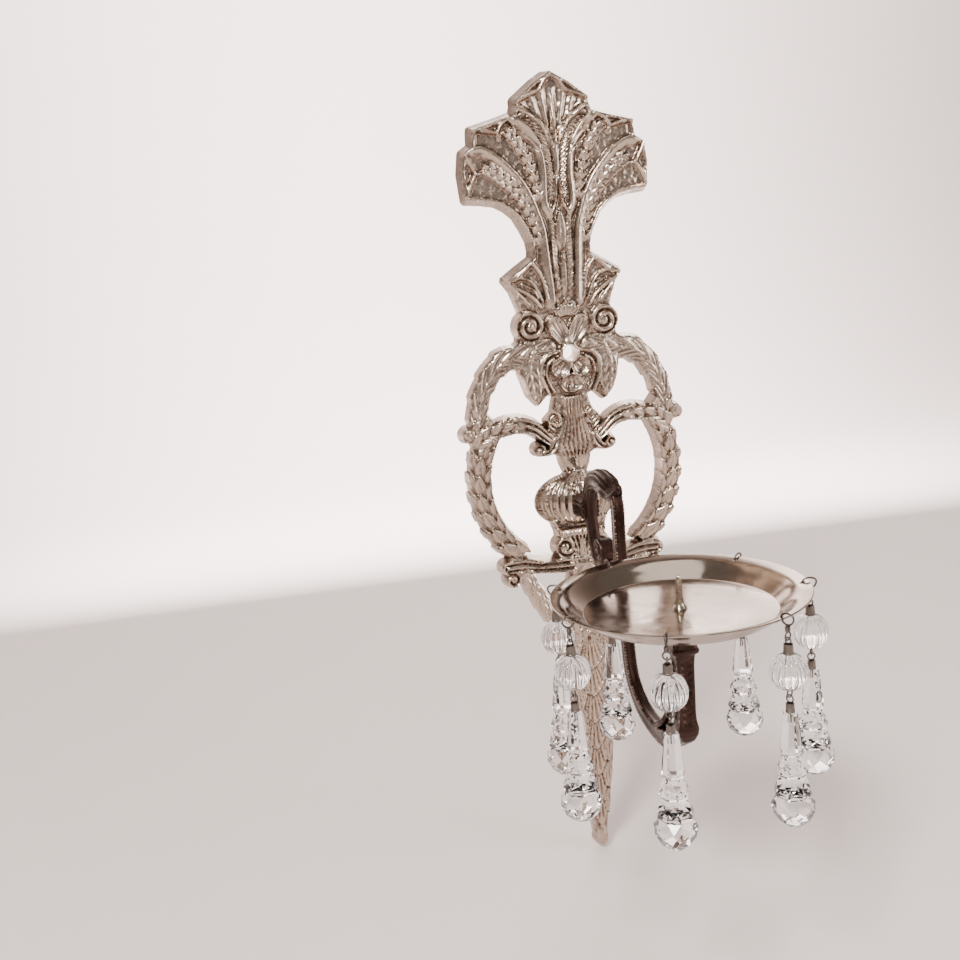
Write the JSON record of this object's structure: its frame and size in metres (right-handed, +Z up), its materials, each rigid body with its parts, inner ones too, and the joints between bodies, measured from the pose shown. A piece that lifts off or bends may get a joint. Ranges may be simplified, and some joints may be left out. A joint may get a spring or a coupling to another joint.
{
  "type": "wall sconce candle holder",
  "caption": "Cast openwork wall sconce with a scrolled arm, a round pricket tray for a pillar candle and swinging glass drops.",
  "frame": {"origin": "centre of the hanging hole on the backplate's back face", "axes": "+Z up along the backplate, -Y out of the wall towards the room, +X to the viewer's right"},
  "size_m": [0.1692, 0.2704, 0.5755],
  "materials": {
    "pewter": "satin cast pewter with dark recesses",
    "bronze": "antiqued dark bronze",
    "nickel": "polished nickel, slightly warm",
    "spike_brass": "polished",
    "steel": "darkened wire",
    "ferrule_steel": "matt sleeve",
    "bead_glass": "clear moulded",
    "pendant_glass": "clear faceted"
  },
  "bodies": {
    "sconce": {"backplate": "pewter", "arm": "bronze", "arm_screw": "steel", "arm_washer": "steel", "tray": "nickel", "tray_washer": "steel", "pricket": "spike_brass"},
    "strand_1": {"hook_1": "steel", "eyepin_1": "steel", "ferrule_1": "ferrule_steel", "bead_1": "bead_glass"},
    "spear_1": {"cap_pin_1": "steel", "cap_1": "ferrule_steel", "pendant_1": "pendant_glass"},
    "strand_2": {"hook_2": "steel", "eyepin_2": "steel", "ferrule_2": "ferrule_steel", "bead_2": "bead_glass"},
    "spear_2": {"cap_pin_2": "steel", "cap_2": "ferrule_steel", "pendant_2": "pendant_glass"},
    "strand_3": {"hook_3": "steel", "eyepin_3": "steel", "ferrule_3": "ferrule_steel", "bead_3": "bead_glass"},
    "spear_3": {"cap_pin_3": "steel", "cap_3": "ferrule_steel", "pendant_3": "pendant_glass"},
    "strand_4": {"hook_4": "steel", "eyepin_4": "steel", "ferrule_4": "ferrule_steel", "bead_4": "bead_glass"},
    "spear_4": {"cap_pin_4": "steel", "cap_4": "ferrule_steel", "pendant_4": "pendant_glass"},
    "strand_5": {"hook_5": "steel", "eyepin_5": "steel", "ferrule_5": "ferrule_steel", "bead_5": "bead_glass"},
    "spear_5": {"cap_pin_5": "steel", "cap_5": "ferrule_steel", "pendant_5": "pendant_glass"},
    "strand_6": {"hook_6": "steel", "eyepin_6": "steel", "ferrule_6": "ferrule_steel", "bead_6": "bead_glass"},
    "spear_6": {"cap_pin_6": "steel", "cap_6": "ferrule_steel", "pendant_6": "pendant_glass"},
    "strand_7": {"hook_7": "steel", "eyepin_7": "steel", "ferrule_7": "ferrule_steel", "bead_7": "bead_glass"},
    "spear_7": {"cap_pin_7": "steel", "cap_7": "ferrule_steel", "pendant_7": "pendant_glass"}
  },
  "joints": [
    {"name": "hook_swing_1", "type": "hinge", "parent": "sconce", "child": "strand_1", "pos_m": [-0.01838, -0.11842, -0.1242], "axis": [-1, 0, 0], "range_deg": [-15, 8]},
    {"name": "pendant_swing_1", "type": "hinge", "parent": "strand_1", "child": "spear_1", "pos_m": [-0.01838, -0.11842, -0.16898], "axis": [-1, 0, 0], "range_deg": [-15, 8]},
    {"name": "hook_swing_2", "type": "hinge", "parent": "sconce", "child": "strand_2", "pos_m": [0.0591, -0.14483, -0.1242], "axis": [-0.6157, 0.788, 0], "range_deg": [-15, 8]},
    {"name": "pendant_swing_2", "type": "hinge", "parent": "strand_2", "child": "spear_2", "pos_m": [0.0591, -0.14483, -0.16898], "axis": [-0.6157, 0.788, 0], "range_deg": [-15, 8]},
    {"name": "hook_swing_3", "type": "hinge", "parent": "sconce", "child": "strand_3", "pos_m": [0.07277, -0.20914, -0.1242], "axis": [0.2419, 0.9703, 0], "range_deg": [-15, 8]},
    {"name": "pendant_swing_3", "type": "hinge", "parent": "strand_3", "child": "spear_3", "pos_m": [0.07277, -0.20914, -0.16898], "axis": [0.2419, 0.9703, 0], "range_deg": [-15, 8]},
    {"name": "hook_swing_4", "type": "hinge", "parent": "sconce", "child": "strand_4", "pos_m": [0.03288, -0.25841, -0.1242], "axis": [0.8988, 0.4384, 0], "range_deg": [-15, 8]},
    {"name": "pendant_swing_4", "type": "hinge", "parent": "strand_4", "child": "spear_4", "pos_m": [0.03288, -0.25841, -0.16898], "axis": [0.8988, 0.4384, 0], "range_deg": [-15, 8]},
    {"name": "hook_swing_5", "type": "hinge", "parent": "sconce", "child": "strand_5", "pos_m": [-0.03521, -0.25722, -0.1242], "axis": [0.8829, -0.4695, 0], "range_deg": [-15, 8]},
    {"name": "pendant_swing_5", "type": "hinge", "parent": "strand_5", "child": "spear_5", "pos_m": [-0.03521, -0.25722, -0.16898], "axis": [0.8829, -0.4695, 0], "range_deg": [-15, 8]},
    {"name": "hook_swing_6", "type": "hinge", "parent": "sconce", "child": "strand_6", "pos_m": [-0.07277, -0.20914, -0.1242], "axis": [0.2419, -0.9703, 0], "range_deg": [-15, 8]},
    {"name": "pendant_swing_6", "type": "hinge", "parent": "strand_6", "child": "spear_6", "pos_m": [-0.07277, -0.20914, -0.16898], "axis": [0.2419, -0.9703, 0], "range_deg": [-15, 8]},
    {"name": "hook_swing_7", "type": "hinge", "parent": "sconce", "child": "strand_7", "pos_m": [-0.0636, -0.15126, -0.1242], "axis": [-0.5299, -0.848, 0], "range_deg": [-15, 8]},
    {"name": "pendant_swing_7", "type": "hinge", "parent": "strand_7", "child": "spear_7", "pos_m": [-0.0636, -0.15126, -0.16898], "axis": [-0.5299, -0.848, 0], "range_deg": [-15, 8]}
  ]
}
